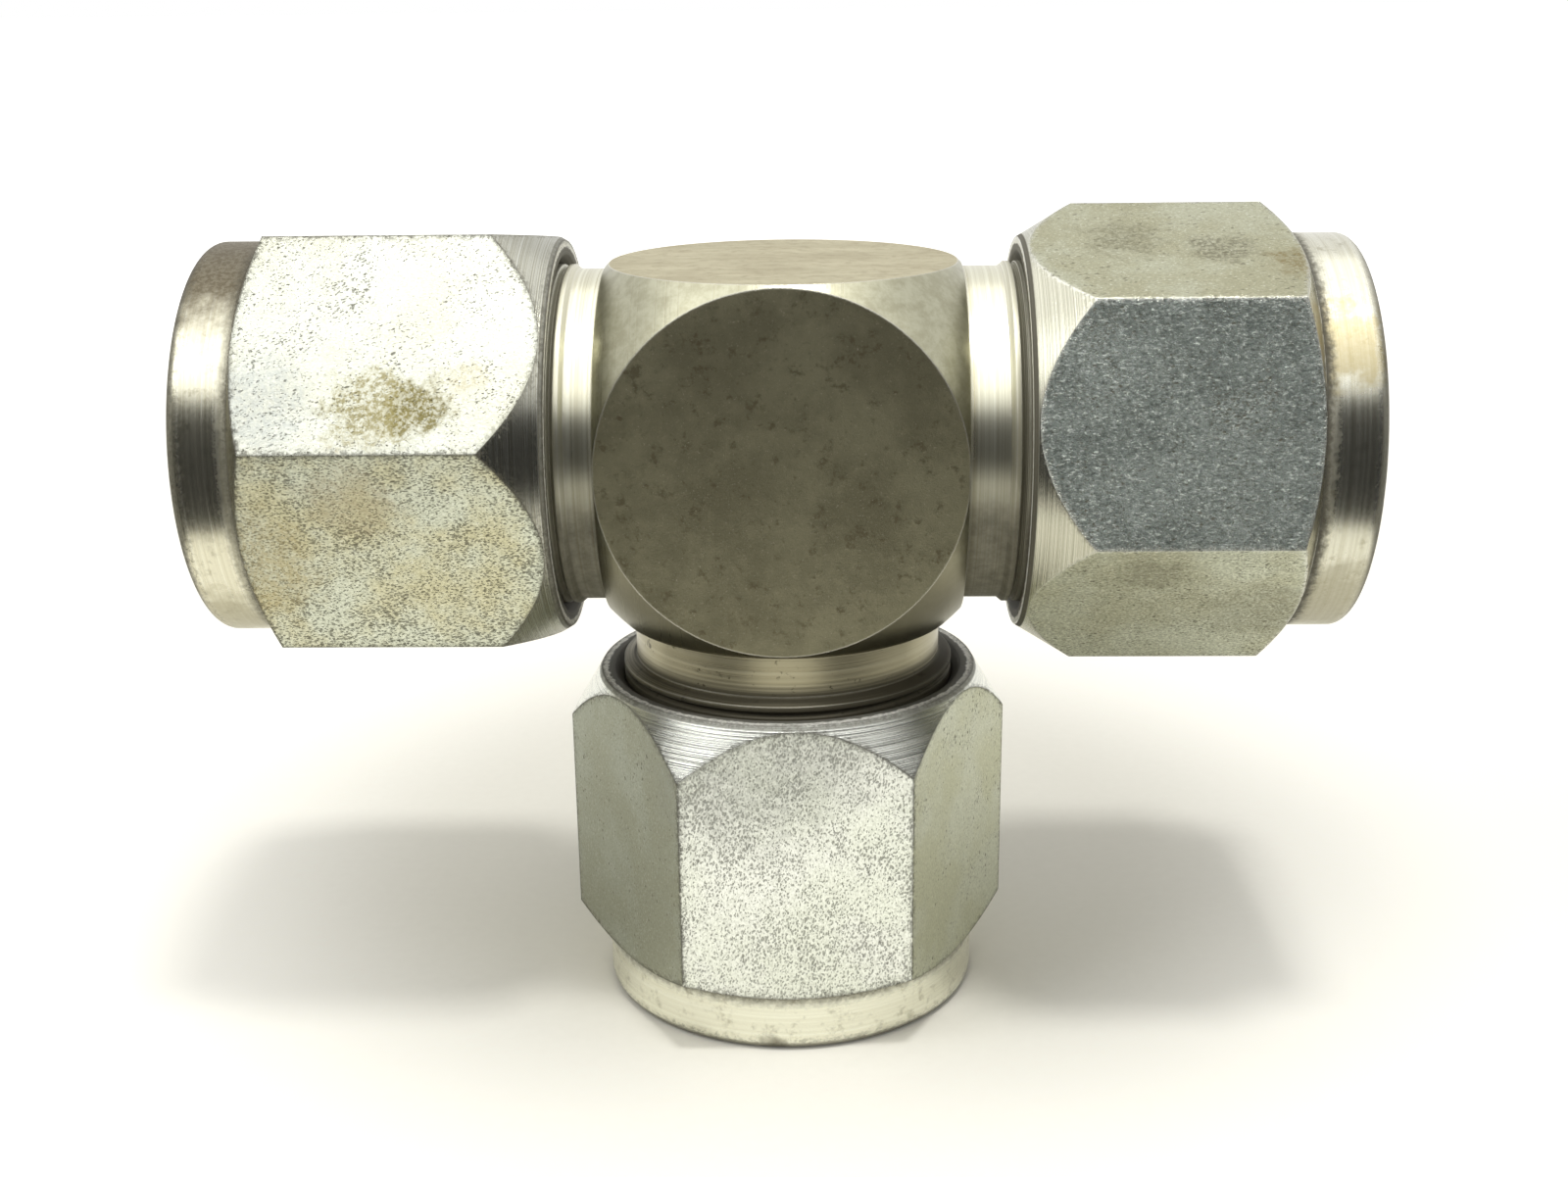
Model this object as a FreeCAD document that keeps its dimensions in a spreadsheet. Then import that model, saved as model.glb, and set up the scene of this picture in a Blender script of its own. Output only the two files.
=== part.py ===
"""Union tee for 3/4 inch hydraulic tube: one tee body and, at each of its three ports,
a compression nut, a bite sleeve and an O-ring.

Frame: +Z up, run along X, branch pointing down. The origin is the centre of the branch
nut's outer face, which is the face that the fitting stands on.

Every nut, sleeve and seal is drawn in the same local frame, the port frame turned over:
its axis is local Z, which points from the open end of the port towards the tee.
"""

import FreeCAD, Part
import math
import os

import Sketcher

# Driving sizes in millimetres and degrees. Lengths along a port are measured from the
# centre of the tee, or from the end of the piece that the name starts with.
SIZES = {
    # the tube that every port is made for, and the radial room round it in each piece
    "tube_dia": 19.05,
    "socket_gap": 0.075,
    "sleeve_gap": 0.125,
    "seal_room": 0.275,
    "guide_gap": 0.275,
    # block in the middle of the tee
    "block_wide": 31.0,
    "block_deep": 30.8,
    "block_above": 15.4,
    "block_below": 16.1,
    "ball_dia": 43.74,
    # necks between the block and the threads
    "neck_drop_run": 0.38,
    "neck_drop_branch": 1.18,
    "neck_left": 17.9,
    "neck_right": 18.8,
    "neck_branch": 20.1,
    "neck_bevel": 0.45,
    # threaded stubs
    "stub_run": 36.2,
    "stub_branch": 38.4,
    "stub_bevel": 1.0,
    "stub_wall": 2.28,
    "thread_pitch": 1.411,
    "thread_deep": 0.5,
    "thread_gap": 0.08,
    # bores
    "tube_stop": 1.65,
    "socket_long": 10.1,
    "pocket_gap": 0.1,
    "pocket_deep": 4.4,
    "bore_bevel": 0.4,
    # O-ring
    "seal_thick": 2.4,
    "seal_gap": 0.03,
    # bite sleeve
    "nose_gap": 0.3,
    "flange_step": 1.4,
    "flange_long": 4.1,
    "flange_gap": 0.3,
    "sleeve_back_wall": 0.95,
    "sleeve_groove_deep": 0.5,
    "sleeve_groove_long": 0.8,
    "sleeve_bite": 0.35,
    # nuts
    "nut_wall": 1.805,
    "nut_bevel_angle": 31.0,
    "face_drop": 0.295,
    "mouth_bevel": 0.84,
    "nut_thread_stop": 0.6,
    "cavity_gap": 0.5,
    "seat_gap": 0.1,
    "collar_drop": 0.165,
    "collar_long": 5.15,
    "collar_angle": 30.0,
    "collar_round": 1.0,
    "guide_bevel": 0.6,
    "guide_long": 5.76,
    "nut_long": 30.9,
    # the right nut is a shorter one
    "short_guide_long": 4.56,
    "short_nut_long": 28.5,
    # how far each nut is turned on its thread, as the angle of one flat
    "turn_left": 21.97,
    "turn_right": 13.92,
    "turn_branch": 3.2,
}

# Radii, lengths and places that follow from the driving sizes, from the tube outwards.
FORMULAS = {
    "socket_radius": "tube_dia / 2 + socket_gap",
    "flow_radius": "socket_radius - tube_stop",
    "sleeve_radius": "tube_dia / 2 + sleeve_gap",
    "guide_radius": "tube_dia / 2 + guide_gap",
    "seal_radius": "tube_dia / 2 + seal_room + seal_thick / 2",
    "pocket_radius": "seal_radius + seal_thick / 2 + pocket_gap",
    "nose_radius": "pocket_radius - nose_gap",
    "nose_long": "pocket_deep - seal_thick - 2 * seal_gap",
    "flange_radius": "nose_radius + flange_step",
    "flange_back": "flange_gap + flange_long",
    "sleeve_back_radius": "sleeve_radius + sleeve_back_wall",
    "sleeve_cone": "flange_radius - sleeve_back_radius",
    "sleeve_out": "flange_back + sleeve_cone",
    "thread_radius": "pocket_radius + stub_wall + thread_deep",
    "nut_thread_radius": "thread_radius + thread_gap",
    "cavity_radius": "flange_radius + cavity_gap",
    "mouth_radius": "nut_thread_radius + mouth_bevel",
    # half of the hexagon's width across flats
    "nut_flat": "nut_thread_radius + thread_deep + nut_wall",
    "nut_corner": "nut_flat * 2 / sqrt(3)",
    "collar_radius": "nut_flat - collar_drop",
    "face_radius": "nut_flat - face_drop",
    # from the stub's end out to where the nut's seat cone meets its tube hole
    "seat_out": "flange_back + flange_radius - guide_radius + seat_gap * sqrt(2)",
    # the run's height over the branch nut's outer face
    "run_high": "stub_branch + seat_out + guide_long",
}

doc = FreeCAD.newDocument("UnionTee")
sheet = doc.addObject("Spreadsheet::Sheet", "Sizes")
for row, (alias, size) in enumerate(SIZES.items(), start=1):
    sheet.set(f"A{row}", alias)
    sheet.set(f"B{row}", str(size))
    sheet.setAlias(f"B{row}", alias)
doc.recompute()


def bound(text):
    """Turn a formula of plain size names into an expression on the sheet."""
    out = []
    word = ""
    for letter in text + " ":
        if letter.isalnum() or letter == "_":
            word += letter
            continue
        if word in SIZES:
            word = f"Sizes.{word}"
        elif word in FORMULAS:
            word = f"({bound(FORMULAS[word])})"
        out.append(word + letter)
        word = ""
    return "".join(out).strip()


def value(text):
    return float(sheet.evalExpression(bound(text)))


def plane(body, role):
    return next(item for item in body.Origin.OriginFeatures if item.Role == role)


def new_sketch(body, name, role):
    sketch = body.newObject("Sketcher::SketchObject", name)
    sketch.AttachmentSupport = (plane(body, role), "")
    sketch.MapMode = "FlatFace"
    return sketch


def place_point(sketch, edge, end, across, up):
    """Tie one end of a sketch edge to two formulas, measured from the sketch's origin."""
    for kind, axis, text in (("DistanceX", -2, across), ("DistanceY", -1, up)):
        if text == "0":
            sketch.addConstraint(Sketcher.Constraint("PointOnObject", edge, end, axis))
            continue
        number = sketch.addConstraint(
            Sketcher.Constraint(kind, -1, 1, edge, end, value(text)))
        sketch.setExpression(f"Constraints[{number}]", bound(text))


def outline(body, name, role, corners):
    """A closed outline of straight edges, each corner given as two formulas."""
    sketch = new_sketch(body, name, role)
    spots = [FreeCAD.Vector(value(across), value(up), 0) for across, up in corners]
    count = len(corners)
    for i in range(count):
        sketch.addGeometry(Part.LineSegment(spots[i], spots[(i + 1) % count]), False)
    for i in range(count):
        sketch.addConstraint(Sketcher.Constraint("Coincident", i, 2, (i + 1) % count, 1))
    for i, (across, up) in enumerate(corners):
        place_point(sketch, i, 1, across, up)
    return sketch


def turned(body, kind, name, sketch, axis="V_Axis"):
    """Turn a sketch once round an axis, to add (Revolution) or to cut (Groove)."""
    feature = body.newObject(f"PartDesign::{kind}", name)
    feature.Profile = sketch
    feature.ReferenceAxis = (sketch, [axis])
    feature.Angle = 360
    body.Tip = feature
    doc.recompute()
    return feature


def repeated(body, name, feature, sketch, axis, backwards, count):
    """Repeat a thread groove at the thread's pitch along a sketch axis."""
    pattern = body.newObject("PartDesign::LinearPattern", name)
    pattern.Originals = [feature]
    pattern.Direction = (sketch, [axis])
    pattern.Reversed = backwards
    pattern.setExpression("Length", bound(f"thread_pitch * {count - 1}"))
    pattern.Occurrences = count
    body.Tip = pattern
    doc.recompute()
    return pattern


def new_body(label):
    body = doc.addObject("PartDesign::Body", label)
    body.Label = label
    return body


# ------------------------------------------------------------------ the three ports
# along: from the tee's centre out; sign and upright say which way the port points in
# the tee body's XZ sketches.
PORTS = {
    "left": {"sign": "-", "upright": False, "neck": "neck_left", "stub": "stub_run",
             "neck_drop": "neck_drop_run", "guide": "guide_long", "nut": "nut_long"},
    "right": {"sign": "", "upright": False, "neck": "neck_right", "stub": "stub_run",
              "neck_drop": "neck_drop_run", "guide": "short_guide_long",
              "nut": "short_nut_long"},
    "branch": {"sign": "-", "upright": True, "neck": "neck_branch", "stub": "stub_branch",
               "neck_drop": "neck_drop_branch", "guide": "guide_long", "nut": "nut_long"},
}


def port_corner(port, along, radius):
    """A corner of a port's turned outline as sketch coordinates in the XZ plane."""
    along = "0" if along == "0" else f"{port['sign']}({along})"
    return (radius, along) if port["upright"] else (along, radius)


def port_outline(body, name, port, corners):
    spots = [port_corner(port, along, radius) for along, radius in corners]
    return outline(body, name, "XZ_Plane", spots)


def port_axis(port):
    return "V_Axis" if port["upright"] else "H_Axis"


def groove_count(start, end):
    return int((value(end) - value(start)) / value("thread_pitch"))


# ------------------------------------------------------------------ tee body
def add_block(body):
    corners = [("-block_wide / 2", "-block_deep / 2"), ("block_wide / 2", "-block_deep / 2"),
               ("block_wide / 2", "block_deep / 2"), ("-block_wide / 2", "block_deep / 2")]
    sketch = outline(body, "BlockOutline", "XY_Plane", corners)
    block = body.newObject("PartDesign::Pad", "Block")
    block.Profile = sketch
    block.SideType = "Two sides"
    block.setExpression("Length", bound("block_above"))
    block.setExpression("Length2", bound("block_below"))
    body.Tip = block
    doc.recompute()


def round_block(body):
    """Cut the block's corners to a ball, which leaves a round flat on each face."""
    sketch = new_sketch(body, "BallOutline", "XZ_Plane")
    middle = "(block_above - block_below) / 2"
    far = value("ball_dia")
    top = value(f"{middle} + ball_dia / 2")
    bottom = value(f"{middle} - ball_dia / 2")
    circle = Part.Circle(FreeCAD.Vector(0, value(middle), 0), FreeCAD.Vector(0, 0, 1),
                         value("ball_dia / 2"))
    sketch.addGeometry(Part.ArcOfCircle(circle, -math.pi / 2, math.pi / 2), False)
    spots = [(0, top), (0, far), (far, far), (far, -far), (0, -far), (0, bottom)]
    vectors = [FreeCAD.Vector(across, up, 0) for across, up in spots]
    for i in range(len(vectors) - 1):
        sketch.addGeometry(Part.LineSegment(vectors[i], vectors[i + 1]), False)
    sketch.addConstraint(Sketcher.Constraint("Coincident", 0, 2, 1, 1))
    for i in range(1, 5):
        sketch.addConstraint(Sketcher.Constraint("Coincident", i, 2, i + 1, 1))
    sketch.addConstraint(Sketcher.Constraint("Coincident", 5, 2, 0, 1))
    place_point(sketch, 0, 3, "0", middle)
    place_point(sketch, 1, 1, "0", f"{middle} + ball_dia / 2")
    place_point(sketch, 2, 1, "0", "ball_dia")
    place_point(sketch, 3, 1, "ball_dia", "ball_dia")
    place_point(sketch, 4, 1, "ball_dia", "-ball_dia")
    place_point(sketch, 5, 1, "0", "-ball_dia")
    sketch.addConstraint(Sketcher.Constraint("PointOnObject", 0, 1, -2))
    turned(body, "Groove", "Ball", sketch)


def add_stub(body, name, port):
    """Neck, shoulder and threaded stub of one port, then its thread grooves."""
    title = name.title()
    end = port["stub"]
    neck = f"thread_radius - {port['neck_drop']}"
    start = f"{port['neck']} + neck_bevel"
    corners = [("0", "0"), ("0", neck), (port["neck"], neck), (start, "thread_radius"),
               (f"{end} - stub_bevel", "thread_radius"),
               (end, "thread_radius - stub_bevel"), (end, "0")]
    sketch = port_outline(body, f"{title}StubOutline", port, corners)
    turned(body, "Revolution", f"{title}Stub", sketch, port_axis(port))
    middle = f"{start} + thread_pitch / 2"
    half = "thread_deep * tan(30)"
    groove = [(f"{middle} - {half}", "thread_radius"), (middle, "thread_radius - thread_deep"),
              (f"{middle} + {half}", "thread_radius"), (middle, "thread_radius + thread_deep")]
    sketch = port_outline(body, f"{title}ThreadOutline", port, groove)
    feature = turned(body, "Groove", f"{title}Thread", sketch, port_axis(port))
    count = groove_count(start, f"{end} - stub_bevel")
    backwards = port["sign"] == "-"
    repeated(body, f"{title}Threads", feature, sketch, port_axis(port), backwards, count)


def cut_bore(body, name, port):
    """Seal pocket, tube socket and flow bore of one port, in to the tee's centre."""
    end = port["stub"]
    floor = f"{end} - pocket_deep"
    corners = [("0", "0"), ("0", "flow_radius"), (f"{floor} - socket_long", "flow_radius"),
               (f"{floor} - socket_long", "socket_radius"), (floor, "socket_radius"),
               (floor, "pocket_radius"), (f"{end} - bore_bevel", "pocket_radius"),
               (end, "pocket_radius + bore_bevel"), (end, "0")]
    sketch = port_outline(body, f"{name.title()}BoreOutline", port, corners)
    turned(body, "Groove", f"{name.title()}Bore", sketch, port_axis(port))


def make_tee_body():
    body = new_body("tee_body")
    add_block(body)
    round_block(body)
    for name, port in PORTS.items():
        add_stub(body, name, port)
    for name, port in PORTS.items():
        cut_bore(body, name, port)
    body.setExpression("Placement.Base.z", bound("run_high"))
    return body


# ------------------------------------------------------------------ nuts
def add_hexagon(body, port):
    corners = [("-nut_corner / 2", "-nut_flat"), ("nut_corner / 2", "-nut_flat"),
               ("nut_corner", "0"), ("nut_corner / 2", "nut_flat"),
               ("-nut_corner / 2", "nut_flat"), ("-nut_corner", "0")]
    sketch = outline(body, "HexOutline", "XY_Plane", corners)
    pad = body.newObject("PartDesign::Pad", "Hex")
    pad.Profile = sketch
    pad.setExpression("Length", bound(port["nut"]))
    body.Tip = pad
    doc.recompute()


def turn_collar(body):
    """Turn the outer end down to a round collar and bevel the hexagon's corners there."""
    far = "(2 * nut_flat)"
    corners = [("collar_radius", "0"), (far, "0"),
               (far, f"collar_long + ({far} - collar_radius) * tan(collar_angle)"),
               ("collar_radius", "collar_long")]
    sketch = outline(body, "CollarOutline", "XZ_Plane", corners)
    collar = turned(body, "Groove", "Collar", sketch)
    rim = next(f"Edge{i}" for i, edge in enumerate(collar.Shape.Edges, start=1)
               if isinstance(edge.Curve, Part.Circle) and abs(edge.Curve.Center.z) < 1e-6)
    fillet = body.newObject("PartDesign::Fillet", "CollarRound")
    fillet.Base = (collar, [rim])
    fillet.setExpression("Radius", bound("collar_round"))
    body.Tip = fillet
    doc.recompute()


def bevel_inner_end(body, port):
    """Turn the long cone on the end that faces the tee, which rounds off the flats."""
    end = port["nut"]
    far = "(2 * nut_flat)"
    corners = [("face_radius", end),
               (far, f"{end} - ({far} - face_radius) / tan(nut_bevel_angle)"), (far, end)]
    sketch = outline(body, "InnerBevelOutline", "XZ_Plane", corners)
    turned(body, "Groove", "InnerBevel", sketch)


def cut_nut_bore(body, port):
    """Tube hole, seat cone, sleeve cavity, thread bore and countersunk mouth."""
    guide = port["guide"]
    end = port["nut"]
    stop = f"{guide} + seat_out - nut_thread_stop"
    corners = [("0", "0"), ("guide_radius + guide_bevel", "0"), ("guide_radius", "guide_bevel"),
               ("guide_radius", guide), ("cavity_radius", f"{guide} + cavity_radius - guide_radius"),
               ("cavity_radius", stop), ("nut_thread_radius", stop),
               ("nut_thread_radius", f"{end} - mouth_bevel"), ("mouth_radius", end), ("0", end)]
    sketch = outline(body, "BoreOutline", "XZ_Plane", corners)
    turned(body, "Groove", "Bore", sketch)
    middle = f"{stop} + thread_pitch"
    half = "thread_deep * tan(30)"
    groove = [("nut_thread_radius", f"{middle} - {half}"),
              ("nut_thread_radius + thread_deep", middle),
              ("nut_thread_radius", f"{middle} + {half}"),
              ("nut_thread_radius - thread_deep", middle)]
    sketch = outline(body, "ThreadOutline", "XZ_Plane", groove)
    feature = turned(body, "Groove", "Thread", sketch)
    count = groove_count(middle, f"{end} - mouth_bevel")
    repeated(body, "Threads", feature, sketch, "V_Axis", False, count)


def make_nut(name, port):
    body = new_body(f"nut_{name}")
    add_hexagon(body, port)
    turn_collar(body)
    bevel_inner_end(body, port)
    cut_nut_bore(body, port)
    seat(body, name, f"{port['stub']} + seat_out + {port['guide']}")
    return body


# ------------------------------------------------------------------ sleeves and seals
def make_sleeve(name, port):
    """Bite sleeve: back cone, flange, nose with a waist, and a bevelled biting edge."""
    body = new_body(f"sleeve_{name}")
    front = "sleeve_cone + flange_long"
    waist = "nose_radius - sleeve_groove_deep"
    tip = "sleeve_out + nose_long"
    corners = [("sleeve_radius", "0"), ("sleeve_back_radius", "0"),
               ("flange_radius", "sleeve_cone"), ("flange_radius", front), (waist, front),
               (waist, f"{front} + sleeve_groove_long"),
               ("nose_radius", f"{front} + sleeve_groove_long"),
               ("nose_radius", f"{tip} - sleeve_bite"), ("nose_radius - sleeve_bite", tip),
               ("sleeve_radius + sleeve_bite", tip), ("sleeve_radius", f"{tip} - sleeve_bite")]
    sketch = outline(body, "SleeveOutline", "XZ_Plane", corners)
    turned(body, "Revolution", "Sleeve", sketch)
    seat(body, name, f"{port['stub']} + sleeve_out")
    return body


def make_seal(name, port):
    seal = doc.addObject("Part::Torus", f"seal_{name}")
    seal.Label = f"seal_{name}"
    seal.setExpression("Radius1", bound("seal_radius"))
    seal.setExpression("Radius2", bound("seal_thick / 2"))
    seat(seal, name, f"{port['stub']} - pocket_deep + seal_gap + seal_thick / 2")
    return seal


# ------------------------------------------------------------------ placing the pieces
# the way from each port's open end to the tee
INWARD = {"left": FreeCAD.Vector(1, 0, 0), "right": FreeCAD.Vector(-1, 0, 0),
          "branch": FreeCAD.Vector(0, 0, 1)}


def seat(piece, name, along):
    """Stand a piece on its port's axis, its local origin `along` out from the centre."""
    inward = INWARD[name]
    swing = FreeCAD.Rotation(FreeCAD.Vector(0, 0, 1), inward)
    spin = FreeCAD.Rotation(inward, value(f"turn_{name}"))
    piece.Placement = FreeCAD.Placement(FreeCAD.Vector(0, 0, 0), spin.multiply(swing))
    if name == "branch":
        piece.setExpression("Placement.Base.z", bound(f"run_high - ({along})"))
        return
    outward = "-" if name == "left" else ""
    piece.setExpression("Placement.Base.x", bound(f"{outward}({along})"))
    piece.setExpression("Placement.Base.z", bound("run_high"))


pieces = [make_tee_body()]
for port_name, port_data in PORTS.items():
    pieces.append(make_nut(port_name, port_data))
    pieces.append(make_sleeve(port_name, port_data))
    pieces.append(make_seal(port_name, port_data))
doc.recompute()

for item in doc.Objects:
    if "Invalid" in item.State or "Error" in item.State:
        raise RuntimeError(f"{item.Label} did not build: {item.State}")

os.makedirs("parts", exist_ok=True)
for piece in pieces:
    shape = piece.Shape
    if shape.isNull() or not shape.isValid():
        raise RuntimeError(f"{piece.Label} has no sound shape")
    if len(shape.Solids) != 1:
        raise RuntimeError(f"{piece.Label} has {len(shape.Solids)} solids")
    shape.exportStep(f"parts/{piece.Label}.step")
    box = shape.BoundBox
    print(f"{piece.Label}: volume {shape.Volume:.1f}, x {box.XMin:.2f} {box.XMax:.2f},"
          f" y {box.YMin:.2f} {box.YMax:.2f}, z {box.ZMin:.2f} {box.ZMax:.2f}")
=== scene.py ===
"""A plated steel tee for tube: a forged block with three screwed nuts, on a pale floor."""
import math

import bpy
from mathutils import Matrix, Vector


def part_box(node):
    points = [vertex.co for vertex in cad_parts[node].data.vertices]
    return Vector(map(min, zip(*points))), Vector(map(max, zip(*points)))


MM = 0.001

# Sizes of the fitting in mm, by which its materials tell one zone from another.
BLOCK_HALF = 15.4  # from the block's centre to its front, back and top flats
BLOCK_SIDE = 15.5  # and to its left and right flats
BLOCK_BELOW = 16.1  # and to its underside
NUT_FLAT = 17.465  # from a nut's axis to its flats, with its collar just inside that

# Where a zone begins and where it is full, in mm.
THREAD_GRIME_AND_SHADE = (18.6, 20.4)  # from the block's centre, on the stubs, for their dirt and painted shade
NUT_RIM = (16.9, 17.05)  # from the axis, for the worn ring on a nut's inner face
NUT_MOUTH = (20.0, 22.0)  # inward from a nut's outer end, for the inside of its mouth, painted dark as shade and dirt
NUT_ROOT = (3.2, 4.3)  # the same, for the dirt and painted shade where its collar meets the hexagon
NUT_LIP = (0.9, 0.2)  # the same, for the dirt and painted shade on its outer lip

# How a stain is laid on.
SMOOTH_STAIN = 0.2  # one with no more speckle than this lies on the turned zones
STAIN_FULL = 0.45  # the share of its reach within which it is full
STAIN_WANDER = 1.7  # how widely its edge wanders, as a share of its reach
STAIN_WANDER_MOST = 5.0  # a reach in mm past which the edge wanders no more widely

# The colour of dirt, which is also used as painted shade in corners, recesses and creases.
GRIME_AND_SHADE = (0.07, 0.062, 0.04)

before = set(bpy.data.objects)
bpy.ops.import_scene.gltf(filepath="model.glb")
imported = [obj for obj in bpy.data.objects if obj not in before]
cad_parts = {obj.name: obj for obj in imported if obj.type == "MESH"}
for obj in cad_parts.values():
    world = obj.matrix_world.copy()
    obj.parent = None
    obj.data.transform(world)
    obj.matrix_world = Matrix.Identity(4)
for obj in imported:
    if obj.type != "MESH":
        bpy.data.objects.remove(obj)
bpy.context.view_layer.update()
# How high the run's axis is above the floor, on which the branch nut stands.
run_high = -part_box("nut_branch")[0].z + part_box("tee_body")[1].z - BLOCK_HALF * MM
CENTRE = Vector((0, 0, run_high))
PORTS = {"left": (-1, 0, 0), "right": (1, 0, 0), "branch": (0, 0, -1)}


# ------------------------------------------------------------------ material graphs
class Graph:
    """A material's nodes, with short calls for the kinds used here. Lengths are in mm."""

    def __init__(self, name):
        self.material = bpy.data.materials.new(name)
        self.material.use_nodes = True
        self.tree = self.material.node_tree
        self.tree.nodes.clear()

    def put(self, socket, value):
        if isinstance(value, bpy.types.NodeSocket):
            self.tree.links.new(value, socket)
        elif socket.type == "RGBA":
            socket.default_value = (*value, 1)
        else:
            socket.default_value = value

    def node(self, kind, inputs=None, **settings):
        made = self.tree.nodes.new("ShaderNode" + kind)
        for name, value in settings.items():
            setattr(made, name, value)
        for key, value in (inputs or {}).items():
            self.put(made.inputs[key], value)
        return made

    def show(self, shader):
        output = self.node("OutputMaterial")
        self.tree.links.new(shader.outputs[0], output.inputs[0])
        return self.material

    def sum(self, operation, *values):
        inputs = dict(enumerate(values))
        return self.node("Math", inputs, operation=operation).outputs[0]

    def add(self, a, b):
        return self.sum("ADD", a, b)

    def less(self, a, b):
        return self.sum("SUBTRACT", a, b)

    def times(self, a, b):
        return self.sum("MULTIPLY", a, b)

    def most(self, a, b):
        return self.sum("MAXIMUM", a, b)

    def size(self, a):
        return self.sum("ABSOLUTE", a)

    def vector(self, operation, *values, scale=None):
        inputs = dict(enumerate(values))
        if scale is not None:
            inputs["Scale"] = scale
        made = self.node("VectorMath", inputs, operation=operation)
        short = operation in ("DOT_PRODUCT", "LENGTH", "DISTANCE")
        return made.outputs["Value" if short else "Vector"]

    def step(self, value, low, high):
        """0 below low and 1 above high, or the other way round when low is the greater."""
        inputs = {"Value": value, "From Min": low, "From Max": high}
        if low > high:
            inputs = {"Value": value, "From Min": high, "From Max": low, "To Min": 1, "To Max": 0}
        return self.node("MapRange", inputs, interpolation_type="SMOOTHSTEP").outputs[0]

    def mix(self, share, a, b, blend="MIX"):
        made = self.node("Mix", {0: share, 6: a, 7: b}, data_type="RGBA", blend_type=blend)
        return made.outputs[2]

    def blend(self, share, a, b):
        return self.node("Mix", {0: share, 2: a, 3: b}, data_type="FLOAT").outputs[0]

    def noise(self, place, scale, detail=3.0, rough=0.55, twist=0.0):
        inputs = {"Vector": place, "Scale": scale, "Detail": detail, "Roughness": rough}
        inputs["Distortion"] = twist
        return self.node("TexNoise", inputs).outputs[0]

    def cells(self, place, scale):
        return self.node("TexVoronoi", {"Vector": place, "Scale": scale}).outputs[0]


class Turned(Graph):
    """The material of a piece turned about the axis of one port."""

    def __init__(self, name, axis):
        super().__init__(name)
        coordinates = self.node("TexCoord")
        self.place = self.vector("SCALE", coordinates.outputs["Object"], scale=1 / MM)
        self.normal = coordinates.outputs["Normal"]
        self.axis = axis
        self.from_centre = self.vector("SUBTRACT", self.place, CENTRE / MM)
        self.along = self.vector("DOT_PRODUCT", self.from_centre, axis)
        on_axis = self.vector("SCALE", axis, scale=self.along)
        away = self.vector("SUBTRACT", self.from_centre, on_axis)
        self.radius = self.vector("LENGTH", away)
        self.heading = self.vector("NORMALIZE", away)
        self.tilt = self.vector("DOT_PRODUCT", self.normal, axis)
        self.outward = self.vector("DOT_PRODUCT", self.normal, self.heading)

    def rings(self, fine):
        """Fine lines round the axis, as a turning tool leaves."""
        track = self.add(self.along, self.times(self.radius, 1.7))
        down = self.vector("SCALE", self.axis, scale=self.times(track, fine))
        around = self.vector("SCALE", self.heading, scale=0.1)
        return self.noise(self.vector("ADD", down, around), 1.0, 4.0, 0.6)

    def stretched(self, along):
        """The piece's coordinates, squeezed along the axis so that a pattern is drawn out there."""
        on_axis = self.vector("SCALE", self.axis, scale=self.times(self.along, along - 1))
        return self.vector("ADD", self.place, on_axis)

    def near(self, point, reach):
        """1 close to a point of the surface and 0 past its reach, with a ragged edge."""
        gap = self.vector("DISTANCE", self.place, point)
        wander = min(reach, STAIN_WANDER_MOST) * STAIN_WANDER
        wobble = self.times(self.less(self.noise(self.place, 0.6, 5.0, 0.62), 0.5), wander)
        return self.step(self.add(gap, wobble), reach, reach * STAIN_FULL)

    def edges(self, reach):
        """How far the surface turns within a reach, and its normal rounded over that."""
        rounded = self.node("Bevel", {"Radius": reach}, samples=4).outputs[0]
        true = self.node("NewGeometry").outputs["True Normal"]
        turn = self.less(1.0, self.vector("DOT_PRODUCT", rounded, true))
        return turn, rounded

    def open_sky(self, reach):
        return self.node("AmbientOcclusion", {"Distance": reach * MM}, samples=4).outputs["AO"]

    def finish(self, colour, metallic, roughness, height, normal):
        surface = {"Strength": 1.0, "Distance": MM, "Height": height, "Normal": normal}
        bump = self.node("Bump", surface)
        return self.show(self.node("BsdfPrincipled", {
            "Base Color": colour,
            "Metallic": metallic,
            "Roughness": roughness,
            "Normal": bump.outputs[0],
        }))


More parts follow.
